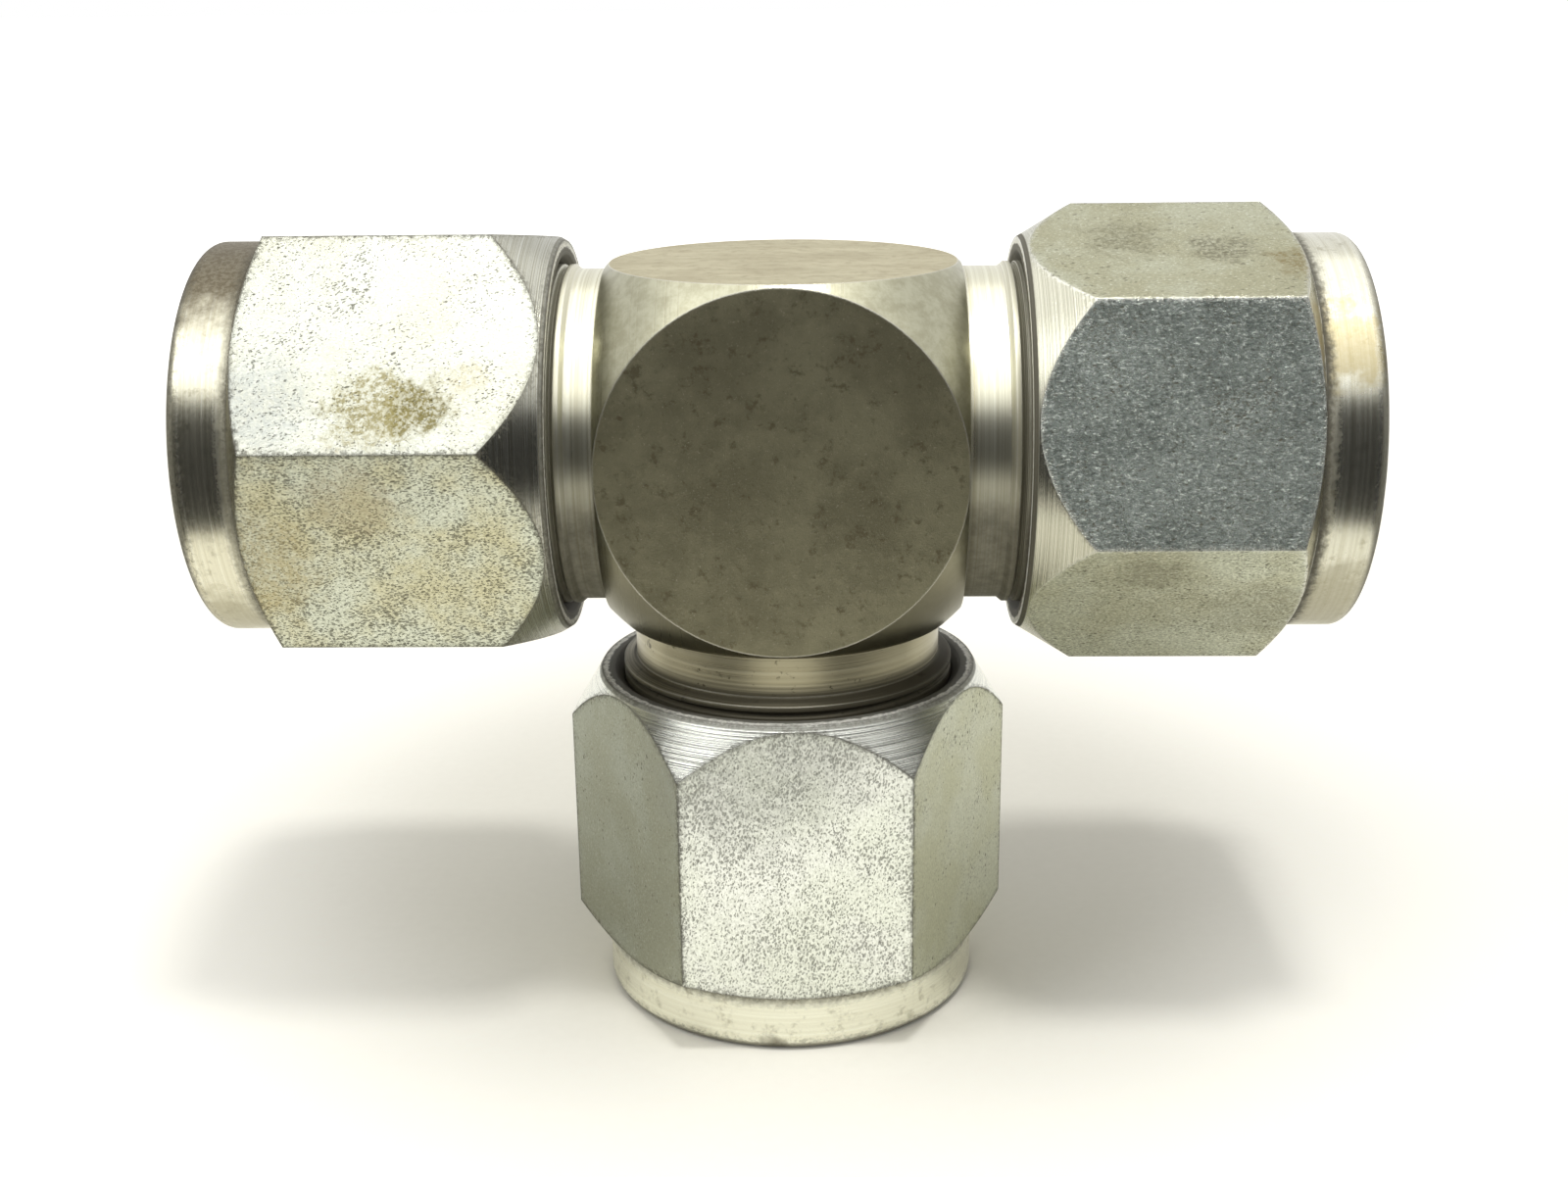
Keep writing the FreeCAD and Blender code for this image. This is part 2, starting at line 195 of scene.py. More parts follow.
# ------------------------------------------------------------------ nuts
class NutSteel(Turned):
    """The material of a nut, with a mask for each of its zones."""

    def __init__(self, port):
        super().__init__("nut_steel_" + port, PORTS[port])
        out = Vector(PORTS[port])
        end = max(out.dot(corner - CENTRE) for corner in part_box("nut_" + port)) / MM
        self.nicks = self.noise(self.place, 1.5, 4.0, 0.75)
        self.cloud = self.noise(self.place, 0.13, 4.0, 0.6)
        self.lines = self.rings(3.4)

        side = self.step(self.size(self.tilt), 0.3, 0.2)
        self.flat = self.times(side, self.step(self.radius, NUT_FLAT - 0.1, NUT_FLAT - 0.04))
        self.cone = self.step(self.tilt, -0.3, -0.4)
        self.end_face = self.step(self.tilt, 0.96, 0.99)
        inner_face = self.step(self.tilt, -0.96, -0.99)
        ragged_radius = self.add(self.radius, self.times(self.nicks, 0.8))
        self.rim = self.times(inner_face, self.step(ragged_radius, *NUT_RIM))
        deep = self.step(self.along, end - NUT_MOUTH[0], end - NUT_MOUTH[1])
        thread = self.times(self.step(self.outward, -0.1, -0.3), deep)
        self.mouth = self.most(thread, self.less(inner_face, self.rim))
        below_flats = self.step(self.radius, NUT_FLAT - 0.04, NUT_FLAT - 0.1)
        collar = self.times(below_flats, self.step(self.outward, 0.5, 0.7))
        ragged_along = self.add(self.along, self.times(self.nicks, 1.6))
        self.root = self.times(collar, self.step(ragged_along, end - NUT_ROOT[0], end - NUT_ROOT[1]))
        self.lip = self.step(self.along, end - NUT_LIP[0], end - NUT_LIP[1])

    def flat_settings(self, look):
        """The look's settings for the hexagon, changed on each flat that has its own; there the plate
        and cast colours are painted light, shade and reflection, set lighter or darker by what that flat
        faces.
        """
        settings = {name: look[name] for name in FLAT_SETTINGS}
        for direction, other in look["flats"]:
            here = self.step(self.vector("DOT_PRODUCT", self.normal, direction), 0.90, 0.97)
            for name, value in other.items():
                pick = self.mix if name in ("plate", "cast") else self.blend
                settings[name] = pick(here, settings[name], value)
        return settings

    def grain_and_pits(self, settings):
        """The plating's fine grain, and its small and large pits, in drifts and drawn out."""
        drawn_out = self.stretched(0.6)
        grain = self.noise(drawn_out, 6.0, 4.0, 0.75)
        jitter = self.vector("SCALE", (0.35, 0.35, 0.35), scale=self.noise(drawn_out, 4.0, 2.0))
        ragged = self.vector("ADD", drawn_out, jitter)
        crowd = self.times(self.less(self.noise(self.place, 0.25, 3.0), 0.5), 0.6)
        small_cells = self.add(self.cells(ragged, 5.2), crowd)
        large_cells = self.add(self.cells(ragged, 1.6), self.times(crowd, 0.5))
        small = self.step(self.less(settings["small"], small_cells), -0.05, 0.05)
        large = self.step(self.less(settings["large"], large_cells), -0.05, 0.05)
        return grain, self.most(self.times(small, 0.75), large)

    def plating(self, settings, grain, hammer, pits):
        """Colour of the zinc on the flats: two casts, dark and pale grain, dashes and pits; on single
        flats the casts are painted lighter or darker as light, shade and reflection.
        """
        salt = settings["salt"]
        hammered = settings["hammered"]
        dark_grain = self.times(self.step(grain, 0.60, 0.34), salt)
        pale_grain = self.times(self.step(grain, 0.56, 0.72), salt)
        dark_dash = self.times(self.step(hammer, 0.50, 0.36), hammered)
        pale_dash = self.times(self.step(hammer, 0.56, 0.66), hammered)
        colour = self.mix(self.step(self.cloud, 0.38, 0.62), settings["plate"], settings["cast"])
        colour = self.mix(dark_grain, colour, (0.45, 0.45, 0.42), "MULTIPLY")
        colour = self.mix(pale_grain, colour, (0.95, 0.95, 0.90))
        colour = self.mix(dark_dash, colour, (0.45, 0.47, 0.47), "MULTIPLY")
        colour = self.mix(pale_dash, colour, (0.66, 0.70, 0.64))
        return self.mix(self.times(pits, settings["soot"]), colour, (0.11, 0.10, 0.065))

    def turned_steel(self, look):
        """Colour of the collar, end face, cone and rim, which a lathe has turned."""
        sheen = self.rings(0.8)
        smut = self.noise(self.place, 0.7, 6.0, 0.75)
        bands = self.times(self.end_face, self.step(sheen, 0.62, 0.40))
        patches = self.times(self.end_face, self.times(self.step(self.cloud, 0.40, 0.62), 0.5))
        colour = self.mix(self.step(self.lines, 0.3, 0.7), look["turned_dark"], look["turned"])
        colour = self.mix(self.times(self.step(sheen, 0.50, 0.75), 0.25), colour, look["turned_stain"])
        colour = self.mix(bands, colour, (0.42, 0.40, 0.31))
        colour = self.mix(patches, colour, (0.27, 0.25, 0.17))
        smutty = self.times(self.step(smut, 0.52, 0.70), look["smut"])
        colour = self.mix(smutty, colour, (0.30, 0.27, 0.17))
        cone = self.mix(self.step(self.lines, 0.35, 0.65), look["cone_dark"], look["cone"])
        colour = self.mix(self.cone, colour, cone)
        return self.mix(self.rim, colour, (0.86, 0.85, 0.78))

    def stain(self, colour, stains_and_painted_shade):
        """The colour with each stain mark and each patch of painted shade laid on, and how dirty and
        shaded they leave it.
        """
        spots = self.step(self.noise(self.place, 2.6, 4.0, 0.7), 0.42, 0.58)
        dirt_and_shade = 0.0
        for place, reach, tint, share, speckle in stains_and_painted_shade:
            strength = self.blend(spots, share * (1 - speckle), share)
            zone = self.flat if speckle > SMOOTH_STAIN else self.less(1.0, self.flat)
            mark = self.times(self.times(self.near(place, reach), strength), zone)
            colour = self.mix(mark, colour, tint)
            dirt_and_shade = self.most(dirt_and_shade, mark)
        return colour, dirt_and_shade

    def worn_edges(self, look):
        """Bright worn stretches of edge, dark chipped ones, the open sky, and a rounded normal."""
        notches = self.step(self.noise(self.place, 2.4, 5.0, 0.8), 0.44, 0.62)
        turn, rounded = self.edges(self.blend(notches, 0.35 * MM, look["notched"] * MM))
        sky = self.open_sky(1.6)
        band = self.times(self.step(turn, 0.004, 0.03), self.step(sky, 0.45, 0.65))
        nicked = self.step(self.nicks, look["chipped"] + 0.05, look["chipped"] - 0.05)
        chips = self.times(band, nicked)
        return self.less(band, chips), chips, sky, rounded

    def grime_and_shade(self, look, sky, chips):
        """Dirt and painted shade in the corners, the mouth, on the lip and at the collar's root, and the
        dark chips of wear.
        """
        # Painted shade where the surface is hemmed in, with dirt there too.
        corners = self.times(self.step(sky, 0.80, 0.45), 0.75)
        # Painted shade and dirt inside the mouth.
        grime_and_shade = self.most(corners, self.times(self.mouth, 0.85))
        # The outer lip darker: dirt, and painted shade along its rounded edge.
        grime_and_shade = self.most(grime_and_shade, self.times(self.lip, self.blend(self.end_face, 0.65, 0.2)))
        grime_and_shade = self.most(grime_and_shade, self.times(chips, 0.85))
        # Dirt and painted shade in the crease where the collar meets the hexagon.
        return self.most(grime_and_shade, self.times(self.root, look["root"]))


def nut_material(port, look):
    steel = NutSteel(port)
    settings = steel.flat_settings(look)
    grain, pits = steel.grain_and_pits(settings)
    hammer = steel.noise(steel.stretched(0.5), 4.2, 4.0, 0.75, 0.4)
    plate = steel.plating(settings, grain, hammer, pits)
    colour = steel.mix(steel.flat, steel.turned_steel(look), plate)
    colour, dirt_and_shade = steel.stain(colour, look["stains_and_painted_shade"])
    worn, chips, sky, rounded = steel.worn_edges(look)
    grime_and_shade = steel.grime_and_shade(look, sky, chips)
    colour = steel.mix(steel.times(worn, 0.6), colour, (0.84, 0.84, 0.76))
    # Dirt and painted shade, laid on in one dark colour.
    colour = steel.mix(grime_and_shade, colour, GRIME_AND_SHADE)
    dirt_and_shade = steel.most(grime_and_shade, steel.times(dirt_and_shade, 0.6))

    hollow = steel.times(steel.times(pits, steel.flat), settings["soot"])
    metallic = steel.blend(steel.most(dirt_and_shade, hollow), 1.0, 0.3)
    metallic = steel.blend(steel.rim, metallic, 0.4)
    zinc = settings["rough"]
    plate_rough = steel.blend(grain, steel.less(zinc, 0.1), steel.add(zinc, 0.1))
    plate_rough = steel.blend(pits, plate_rough, 0.75)
    rough = steel.blend(steel.flat, steel.blend(steel.lines, 0.18, 0.32), plate_rough)
    for zone, value in ((steel.rim, 0.55), (worn, 0.22), (dirt_and_shade, 0.7)):
        rough = steel.blend(zone, rough, value)
    relief = steel.less(steel.times(grain, settings["rugged"]), steel.times(pits, 0.05))
    relief = steel.add(relief, steel.times(hammer, steel.times(settings["hammered"], 0.16)))
    grooves = steel.times(steel.lines, steel.blend(steel.cone, 0.02, 0.06))
    height = steel.blend(steel.flat, grooves, relief)
    return steel.finish(colour, metallic, rough, height, rounded)


# ------------------------------------------------------------------ tee body
class BlockSteel(Turned):
    """The material of the tee body, with a mask for each of its zones."""

    def __init__(self):
        super().__init__("block_steel", (1, 0, 0))
        facing = self.node("SeparateXYZ", {0: self.normal}).outputs
        place = self.node("SeparateXYZ", {0: self.from_centre}).outputs
        beside = self.size(place[0])
        in_front = self.step(self.size(place[1]), BLOCK_HALF - 0.2, BLOCK_HALF - 0.1)
        on_top = self.step(place[2], BLOCK_HALF - 0.2, BLOCK_HALF - 0.1)
        self.depth = self.times(place[2], -1.0)
        self.face = self.step(self.times(self.size(facing[1]), in_front), 0.985, 0.995)
        self.crown = self.times(self.step(facing[2], 0.985, 0.995), on_top)
        self.milled = self.most(self.face, self.crown)
        self.below = self.step(self.depth, BLOCK_BELOW - 0.3, BLOCK_BELOW - 0.1)
        outside = self.step(beside, BLOCK_SIDE - 0.1, BLOCK_SIDE + 0.1)
        self.neck = self.times(outside, self.less(1.0, self.below))
        self.under = self.times(self.neck, self.step(facing[2], 0.1, -0.35))
        reach = self.most(self.times(self.neck, beside), self.depth)
        self.thread = self.step(reach, *THREAD_GRIME_AND_SHADE)

        self.fine = self.noise(self.place, 6.0, 4.0, 0.75)
        self.cloud = self.noise(self.place, 0.16, 5.0, 0.65)
        self.soil = self.noise(self.place, 0.8, 6.0, 0.72)
        level = self.noise(self.vector("MULTIPLY", self.place, (0.02, 0.02, 3.2)), 1.0, 4.0, 0.6)
        self.lines = self.blend(self.below, self.rings(3.0), level)

    def ball(self):
        """Colour of the turned corners, which darken towards the branch as dirt and painted shade under
        the run.
        """
        colour = self.mix(self.step(self.soil, 0.35, 0.65), (0.47, 0.46, 0.34), (0.37, 0.355, 0.25))
        colour = self.mix(self.times(self.step(self.lines, 0.5, 0.3), 0.2), colour, (0.30, 0.285, 0.20))
        # Darker towards the branch: painted shade under the run, with dirt.
        low = self.times(self.step(self.depth, 1.0, 10.5), 0.85)
        return self.mix(low, colour, (0.17, 0.155, 0.095))

    def necks(self):
        """Colour of the run's necks, bright, and the branch's, painted darker as shade under the block,
        with dark specks of dirt.
        """
        ring = self.step(self.lines, 0.3, 0.7)
        bright = self.mix(ring, (0.56, 0.53, 0.38), (0.84, 0.83, 0.68))
        # Painted shade: the branch neck is the same steel, painted darker.
        shaded_drab = self.mix(ring, (0.29, 0.265, 0.175), (0.40, 0.37, 0.26))
        shaded_drab = self.mix(self.step(self.soil, 0.60, 0.66), shaded_drab, (0.10, 0.09, 0.055))
        return self.mix(self.below, bright, shaded_drab)

    def face_mottle_and_painted_reflection(self):
        """Colour of the round flats in front and behind, mottled, and painted dark as a reflection of
        the dark front.
        """
        # Painted reflection: a dark base, as the dark front shows in these flats; the mottle and specks
        # are their own.
        colour = self.mix(self.step(self.cloud, 0.35, 0.65), (0.21, 0.197, 0.128), (0.285, 0.27, 0.178))
        soiled = self.times(self.step(self.soil, 0.54, 0.68), 0.7)
        colour = self.mix(soiled, colour, (0.135, 0.115, 0.07))
        colour = self.mix(self.times(self.step(self.fine, 0.60, 0.72), 0.5), colour, (0.62, 0.60, 0.48))
        return self.mix(self.times(self.step(self.fine, 0.42, 0.30), 0.5), colour, (0.12, 0.11, 0.07))

    def pale_crown(self):
        """Colour of the round flat on top, with streaks along the run and brown patches."""
        streak = self.noise(self.vector("MULTIPLY", self.place, (0.10, 0.7, 1.0)), 1.0, 5.0, 0.7)
        colour = self.mix(self.step(streak, 0.30, 0.70), (0.50, 0.455, 0.30), (0.40, 0.36, 0.225))
        colour = self.mix(self.times(self.step(self.cloud, 0.42, 0.60), 0.4), colour, (0.34, 0.29, 0.17))
        return self.mix(self.times(self.step(self.soil, 0.48, 0.66), 0.5), colour, (0.27, 0.22, 0.12))

    def grime_and_shade(self, sky):
        """Dirt and painted shade in the corners, under the necks and between the threads."""
        # Painted shade where the surface is hemmed in, with dirt there too.
        corners = self.times(self.step(sky, 0.75, 0.35), 0.7)
        # Painted shade and dirt under the necks.
        grime_and_shade = self.most(corners, self.times(self.under, self.blend(self.soil, 0.6, 1.0)))
        # Painted shade and dirt between the thread crests on the stubs.
        between = self.blend(self.step(self.lines, 0.45, 0.6), 0.85, 0.35)
        return self.most(grime_and_shade, self.times(self.thread, between))


def body_material():
    steel = BlockSteel()
    colour = steel.mix(steel.most(steel.neck, steel.below), steel.ball(), steel.necks())
    colour = steel.mix(steel.face, colour, steel.face_mottle_and_painted_reflection())
    colour = steel.mix(steel.crown, colour, steel.pale_crown())
    turn, rounded = steel.edges(steel.blend(steel.soil, 0.08 * MM, 0.35 * MM))
    sky = steel.open_sky(2.0)
    worn = steel.times(steel.step(turn, 0.01, 0.08), steel.step(sky, 0.5, 0.7))
    grime_and_shade = steel.grime_and_shade(sky)
    colour = steel.mix(steel.times(worn, 0.7), colour, (0.80, 0.78, 0.70))
    # Dirt and painted shade, laid on in one dark colour.
    colour = steel.mix(grime_and_shade, colour, GRIME_AND_SHADE)

    turned_rough = steel.blend(steel.lines, 0.22, 0.36)
    rough = steel.blend(steel.milled, turned_rough, steel.blend(steel.fine, 0.40, 0.58))
    rough = steel.blend(grime_and_shade, rough, 0.75)
    mottle = steel.add(steel.times(steel.fine, 0.03), steel.times(steel.soil, 0.05))
    height = steel.blend(steel.milled, steel.times(steel.lines, 0.012), mottle)
    return steel.finish(colour, steel.blend(grime_and_shade, 1.0, 0.4), rough, height, rounded)


# ------------------------------------------------------------------ sleeves and seals
def sleeve_material(port):
    steel = Turned("sleeve_steel_" + port, PORTS[port])
    lines = steel.rings(4.0)
    colour = steel.mix(steel.step(lines, 0.3, 0.7), (0.50, 0.49, 0.45), (0.70, 0.69, 0.65))
    turn, rounded = steel.edges(0.1 * MM)
    worn = steel.times(steel.step(turn, 0.02, 0.1), 0.6)
    colour = steel.mix(worn, colour, (0.8, 0.8, 0.77))
    rough = steel.blend(lines, 0.25, 0.4)
    return steel.finish(colour, 1.0, rough, steel.times(lines, 0.008), rounded)


def seal_material(port):
    rubber = Turned("seal_rubber_" + port, PORTS[port])
    dust = rubber.noise(rubber.place, 1.2, 5.0, 0.7)
    fine = rubber.noise(rubber.place, 9.0, 3.0)
    dusty = rubber.step(dust, 0.4, 0.7)
    colour = rubber.mix(dusty, (0.018, 0.018, 0.018), (0.05, 0.048, 0.043))
    normal = rubber.node("NewGeometry").outputs["Normal"]
    return rubber.finish(colour, 0.0, rubber.blend(fine, 0.45, 0.7), rubber.times(fine, 0.01), normal)


# ------------------------------------------------------------------ how each nut looks
def tipped(degrees):
    """The direction of a flat of a run nut, by its angle above the horizon in front."""
    turn = math.radians(degrees)
    return (0, -math.cos(turn), math.sin(turn))


def swung(degrees):
    """The direction of a flat of the branch nut, by its angle to the right of the front."""
    turn = math.radians(degrees)
    return (math.sin(turn), -math.cos(turn), 0)


# The settings that a single flat may have of its own.
FLAT_SETTINGS = (
    "plate",  # colour of the zinc; a flat's own is also painted light, shade and reflection
    "cast",  # its second colour, in large soft patches, also painted lighter or darker on a flat of its own
    "small",  # how many small pits there are
    "large",  # how many large ones
    "salt",  # strength of the dark and pale grain
    "soot",  # how dark the pits are
    "rough",  # roughness of the zinc
    "rugged",  # depth of the grain, in mm
    "hammered",  # strength of the dashes that a press leaves
)

# What all nuts share, unless a nut says otherwise. "flats" holds directions, each with what differs on
# the flat that faces it;
# a flat's own plate and cast colours are painted light, shade and reflection, set by what that flat
# faces. The list of stains holds, for each stain or patch of painted shade, its place and its reach in
# mm, its tint, its share and how much of that share comes in speckles.
STEEL = {
    "plate": (0.60, 0.61, 0.50),
    "cast": (0.54, 0.53, 0.40),
    "small": 0.26,
    "large": 0.13,
    "salt": 0.35,
    "soot": 0.75,
    "rough": 0.42,
    "rugged": 0.03,
    "hammered": 0.0,
    "chipped": 0.48,  # how much of its edges is chipped and dark
    "notched": 1.2,  # how far the deepest chips reach from an edge, in mm
    "root": 0.5,  # strength of the dirt and painted shade where the collar meets the hexagon
    "smut": 0.5,  # strength of the brown film on the turned zones
    "turned": (0.80, 0.79, 0.67),
    "turned_dark": (0.68, 0.66, 0.53),  # between the bright lines
    "turned_stain": (0.54, 0.49, 0.33),  # in broad bands over them
    "cone": (0.72, 0.72, 0.64),
    "cone_dark": (0.50, 0.49, 0.41),
    "flats": [],
    "stains_and_painted_shade": [],
}
LOOKS = {
    "left": {
        **STEEL,
        "chipped": 0.66,
        "notched": 1.9,
        "turned": (0.78, 0.76, 0.62),
        "turned_dark": (0.64, 0.61, 0.46),
        "cone": (0.50, 0.50, 0.44),
        "cone_dark": (0.34, 0.33, 0.26),
        # The plate and cast colours of these flats are painted light, shade and reflection, set by what
        # each flat faces.
        "flats": [
            (tipped(38), {"plate": (0.53, 0.54, 0.47), "cast": (0.50, 0.50, 0.415),
                          "small": 0.20, "large": 0.09, "soot": 0.55}),
            (tipped(-22), {"plate": (0.78, 0.81, 0.67), "cast": (0.72, 0.69, 0.47),
                           "small": 0.36, "salt": 0.6, "soot": 0.7}),
        ],
        "stains_and_painted_shade": [
            ((-29.6, -17.5, 58.3), 3.6, (0.19, 0.16, 0.045), 0.95, 0.6),
            ((-33.0, -17.4, 58.4), 4.4, (0.27, 0.235, 0.09), 0.8, 0.8),
            ((-25.2, -15.8, 60.5), 2.0, (0.42, 0.35, 0.18), 0.35, 0.8),
            ((-44.0, -17.3, 44.0), 7.5, (0.52, 0.42, 0.19), 0.5, 0.6),
            ((-35.0, -18.6, 50.8), 5.0, (0.42, 0.33, 0.20), 0.35, 0.6),
            ((-42.5, -17.0, 58.5), 5.5, (0.40, 0.43, 0.42), 0.45, 0.6),
            # Painted reflection: the top of the collar near black, as a dark room behind would show in
            # it.
            ((-48.5, -3.0, 70.0), 14.5, (0.085, 0.064, 0.03), 0.96, 0.1),
            # The lower front of the collar darker.
            ((-49.5, -10.0, 38.5), 7.0, (0.40, 0.36, 0.22), 0.55, 0.1),
        ],
    },
    "right": {
        **STEEL,
        "chipped": 0.40,
        "root": 0.9,
        "plate": (0.52, 0.53, 0.43),
        "cast": (0.46, 0.45, 0.34),
        "turned": (0.72, 0.71, 0.60),
        "turned_dark": (0.58, 0.56, 0.44),
        "cone": (0.62, 0.61, 0.50),
        "cone_dark": (0.42, 0.41, 0.32),
        # The plate and cast colours of these flats are painted light, shade and reflection, set by what
        # each flat faces.
        "flats": [
            (tipped(74), {"plate": (0.42, 0.42, 0.31), "cast": (0.36, 0.35, 0.235),
                          "small": 0.15, "large": 0.16, "rough": 0.5, "salt": 0.45, "soot": 0.5}),
            # Painted reflection: the front flat dark, as the dark front shows in it; its dashes and
            # grain are its own.
            (tipped(14), {"plate": (0.28, 0.31, 0.285), "cast": (0.20, 0.225, 0.205), "small": 0.24,
                          "rough": 0.28, "rugged": 0.12, "salt": 0.7, "hammered": 0.85}),
            (tipped(-46), {"plate": (0.68, 0.70, 0.55), "cast": (0.58, 0.58, 0.42),
                           "small": 0.27, "large": 0.13, "salt": 0.8}),
        ],
        "stains_and_painted_shade": [
            ((43.5, -8.0, 69.5), 4.0, (0.19, 0.145, 0.05), 0.85, 0.7),
            ((29.0, -3.0, 69.0), 4.5, (0.18, 0.17, 0.10), 0.7, 0.8),
            ((37.0, -5.0, 69.0), 3.6, (0.15, 0.14, 0.085), 0.8, 0.9),
            ((41.0, -11.5, 39.0), 6.0, (0.26, 0.25, 0.17), 0.6, 0.7),
            ((30.5, -16.5, 43.8), 3.5, (0.22, 0.21, 0.14), 0.6, 0.7),
            ((45.5, -14.0, 63.0), 5.0, (0.42, 0.33, 0.12), 0.6, 0.1),
            # The lower front of the collar darker.
            ((46.5, -12.0, 39.0), 8.5, (0.34, 0.31, 0.20), 0.6, 0.1),
        ],
    },
    "branch": {
        **STEEL,
        "chipped": 0.62,
        "notched": 1.7,
        "plate": (0.64, 0.65, 0.56),
        "cast": (0.58, 0.58, 0.47),
        "turned": (0.92, 0.92, 0.80),
        "turned_dark": (0.82, 0.81, 0.67),
        "cone": (0.86, 0.87, 0.80),
        "cone_dark": (0.62, 0.63, 0.56),
        # The plate and cast colours of these flats are painted light, shade and reflection, set by what
        # each flat faces.
        "flats": [
            # Painted reflection: the front flat near white, as the bright floor shows in it.
            (swung(3), {"plate": (0.92, 0.94, 0.88), "cast": (0.88, 0.91, 0.82),
                        "small": 0.35, "rough": 0.33, "salt": 0.5, "soot": 0.55}),
            # Painted shade: the left flat darker, as the shaded floor beside it shows in it.
            (swung(-57), {"plate": (0.42, 0.44, 0.36), "cast": (0.37, 0.38, 0.29),
                          "small": 0.14, "large": 0.10}),
            (swung(63), {"plate": (0.64, 0.66, 0.53), "cast": (0.58, 0.59, 0.43),
                         "small": 0.18, "large": 0.12}),
        ],
        "stains_and_painted_shade": [
            # Painted shade: the upper part of the front flat greyer, under the block.
            ((-3.0, -17.5, 30.0), 13.0, (0.36, 0.37, 0.33), 0.5, 0.5),
            # Painted contact shadow along the foot, where the nut stands on the floor.
            ((-1.0, -17.0, 0.2), 1.6, (0.16, 0.14, 0.09), 0.7, 0.1),
        ],
    },
}


def paint(node, material):
    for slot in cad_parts[node].material_slots:
        slot.material = material


# ------------------------------------------------------------------ floor, light and camera
# Lengths from here on are in metres, but for the camera's sensor and lens.
GLOW_CENTRE = (0, 0.03, 0)
GLOW_NEAR = (0.035, 0.08)  # the distances between which the floor's glow first grows
GLOW_FAR = (0.08, 0.6)  # and those between which it grows to its full strength
FLOOR_REACH = 30.0

CARD_STEPS = 32
CARD_TURN = 105  # how far round the front it reaches to each side, in degrees
CARD_WIDE = 0.12  # from its middle to each side
CARD_DEEP = 0.078  # how far in front it stands
CARD_HIGH = 0.09  # how high its upper edge is
CARD_RISE = 0.028  # how far its lower edge rises in the middle
CARD_RISE_WIDE = 0.034  # and how far to each side it does
CARD_GLOW = 0.05  # the little light that it gives back

WORLD_LIGHT = 0.3  # the room's strength as a light
WORLD_SEEN = 1.0  # and as the camera or a mirror sees it

CAMERA_AWAY = Vector((3.977, -166.05, 36.74)) * MM  # from the block's centre
CAMERA_YAW = -1.463  # this and the next two in degrees
CAMERA_PITCH = -17.165
CAMERA_ROLL = -0.67
CAMERA_SENSOR = 36  # this and the next in mm
CAMERA_LENS = 43.46


def stage_mesh(name, points, faces, material):
    mesh = bpy.data.meshes.new(name)
    mesh.from_pydata(points, [], faces)
    mesh.materials.append(material)
    made = bpy.data.objects.new(name, mesh)
    bpy.context.scene.collection.objects.link(made)
    return made


def make_floor():
    """Pale paper. Away from the fitting it glows for the camera and for mirrors, which makes it
    white there and leaves the shadow."""
    paper = Graph("paper")
    path = paper.node("LightPath").outputs
    seen = paper.most(path["Is Camera Ray"], path["Is Glossy Ray"])
    seen = paper.most(seen, path["Is Transmission Ray"])
    place = paper.node("TexCoord").outputs["Object"]
    fibre = paper.noise(place, 900.0, 3.0)
    gap = paper.vector("DISTANCE", place, GLOW_CENTRE)
    near = paper.times(paper.step(gap, *GLOW_NEAR), 0.3)
    far = paper.times(paper.step(gap, *GLOW_FAR), 0.7)
    strength = paper.times(seen, paper.add(near, far))
    colour = paper.mix(fibre, (0.88, 0.855, 0.76), (0.92, 0.895, 0.80))
    matt = paper.node("BsdfDiffuse", {"Color": colour})
    glow = paper.node("Emission", {"Color": (1, 1, 1), "Strength": strength})
    both = paper.node("AddShader", {0: matt.outputs[0], 1: glow.outputs[0]})
    reach = FLOOR_REACH
    corners = [(-reach, -reach, 0), (reach, -reach, 0), (reach, reach, 0), (-reach, reach, 0)]
    stage_mesh("floor", corners, [(0, 1, 2, 3)], paper.show(both))


def make_dark_card():
    """A dark curved card in front, which only shows as the dark band in the metal's reflections."""
    dark = Graph("dark_card")
    shader = dark.node("Emission", {"Color": (1, 1, 1), "Strength": CARD_GLOW})
    low = []
    high = []
    for i in range(CARD_STEPS + 1):
        turn = math.radians(-CARD_TURN + 2 * CARD_TURN * i / CARD_STEPS)
        place = (CARD_WIDE * math.sin(turn), -CARD_DEEP * math.cos(turn))
        low.append((*place, CARD_RISE * math.exp(-(place[0] / CARD_RISE_WIDE) ** 2)))
        high.append((*place, CARD_HIGH))
    first = CARD_STEPS + 1
    faces = [(i, i + 1, first + i + 1, first + i) for i in range(CARD_STEPS)]
    card = stage_mesh("dark_card", low + high, faces, dark.show(shader))
    card.visible_camera = False
    card.visible_diffuse = False
    card.visible_transmission = False
    card.visible_shadow = False


def make_lamp(name, place, aim, size, power):
    data = bpy.data.lights.new(name, "AREA")
    data.shape = "RECTANGLE"
    data.size = size[0]
    data.size_y = size[1]
    data.energy = power
    lamp = bpy.data.objects.new(name, data)
    bpy.context.scene.collection.objects.link(lamp)
    lamp.location = place
    lamp.rotation_mode = "QUATERNION"
    lamp.rotation_quaternion = (Vector(aim) - Vector(place)).to_track_quat("-Z", "Y")


def make_lamps():
    """A wide soft lamp overhead, two weaker ones at the sides, and a small one for the shadow."""
    make_lamp("soft_top", (-0.06, -0.11, 0.46), (-0.06, -0.11, 0), size=(0.6, 0.85), power=1.22)
    make_lamp("soft_left", (-0.34, -0.20, 0.42), CENTRE, size=(0.25, 0.25), power=0.45)
    make_lamp("soft_right", (0.36, -0.20, 0.40), CENTRE, size=(0.25, 0.25), power=0.15)
    make_lamp("key", (0.05, -0.12, 0.62), CENTRE, size=(0.08, 0.08), power=1.2)


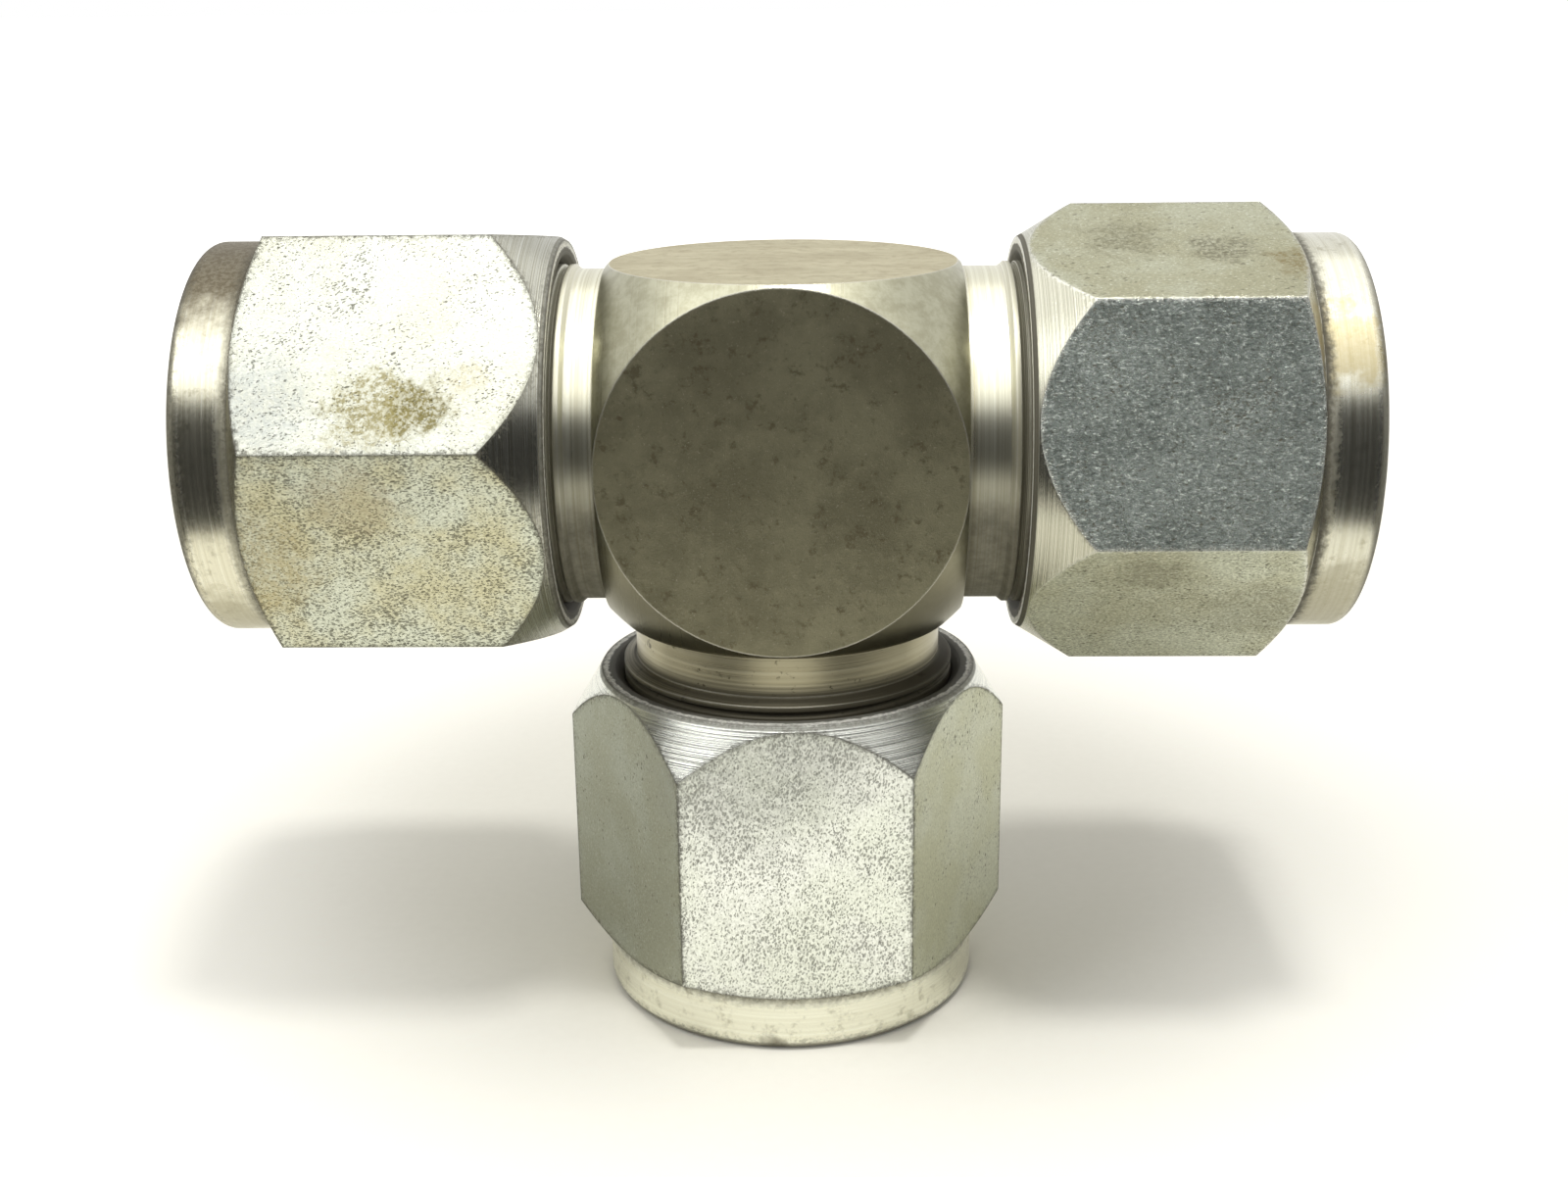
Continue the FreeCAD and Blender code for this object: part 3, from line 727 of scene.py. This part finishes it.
def make_world():
    """An even white room, dim as a light and white where the camera or a mirror sees it."""
    world = bpy.data.worlds.new("studio")
    world.use_nodes = True
    tree = world.node_tree
    path = tree.nodes.new("ShaderNodeLightPath")
    seen = path.outputs["Is Camera Ray"]
    for kind in ("Is Glossy Ray", "Is Transmission Ray"):
        either = tree.nodes.new("ShaderNodeMath")
        either.operation = "MAXIMUM"
        tree.links.new(seen, either.inputs[0])
        tree.links.new(path.outputs[kind], either.inputs[1])
        seen = either.outputs[0]
    level = tree.nodes.new("ShaderNodeMapRange")
    level.inputs["To Min"].default_value = WORLD_LIGHT
    level.inputs["To Max"].default_value = WORLD_SEEN
    tree.links.new(seen, level.inputs["Value"])
    background = tree.nodes["Background"]
    background.inputs["Color"].default_value = (1, 1, 1, 1)
    tree.links.new(level.outputs[0], background.inputs["Strength"])
    bpy.context.scene.world = world


def make_camera():
    yaw = math.radians(CAMERA_YAW)
    pitch = math.radians(CAMERA_PITCH)
    roll = math.radians(CAMERA_ROLL)
    flat = math.cos(pitch)
    ahead = Vector((math.sin(yaw) * flat, math.cos(yaw) * flat, math.sin(pitch)))
    level = Vector((math.cos(yaw), -math.sin(yaw), 0))
    above = level.cross(ahead)
    right = level * math.cos(roll) + above * math.sin(roll)
    up = above * math.cos(roll) - level * math.sin(roll)
    place = CENTRE + CAMERA_AWAY
    data = bpy.data.cameras.new("camera")
    data.sensor_fit = "HORIZONTAL"
    data.sensor_width = CAMERA_SENSOR
    data.lens = CAMERA_LENS
    data.clip_start = 0.01
    camera = bpy.data.objects.new("camera", data)
    bpy.context.scene.collection.objects.link(camera)
    camera.matrix_world = Matrix((
        (right.x, up.x, -ahead.x, place.x),
        (right.y, up.y, -ahead.y, place.y),
        (right.z, up.z, -ahead.z, place.z),
        (0, 0, 0, 1),
    ))
    bpy.context.scene.camera = camera


paint("tee_body", body_material())
for port, look in LOOKS.items():
    paint("nut_" + port, nut_material(port, look))
    paint("sleeve_" + port, sleeve_material(port))
    paint("seal_" + port, seal_material(port))
make_floor()
make_dark_card()
make_world()
make_lamps()
make_camera()
bpy.context.scene.view_settings.view_transform = "Standard"
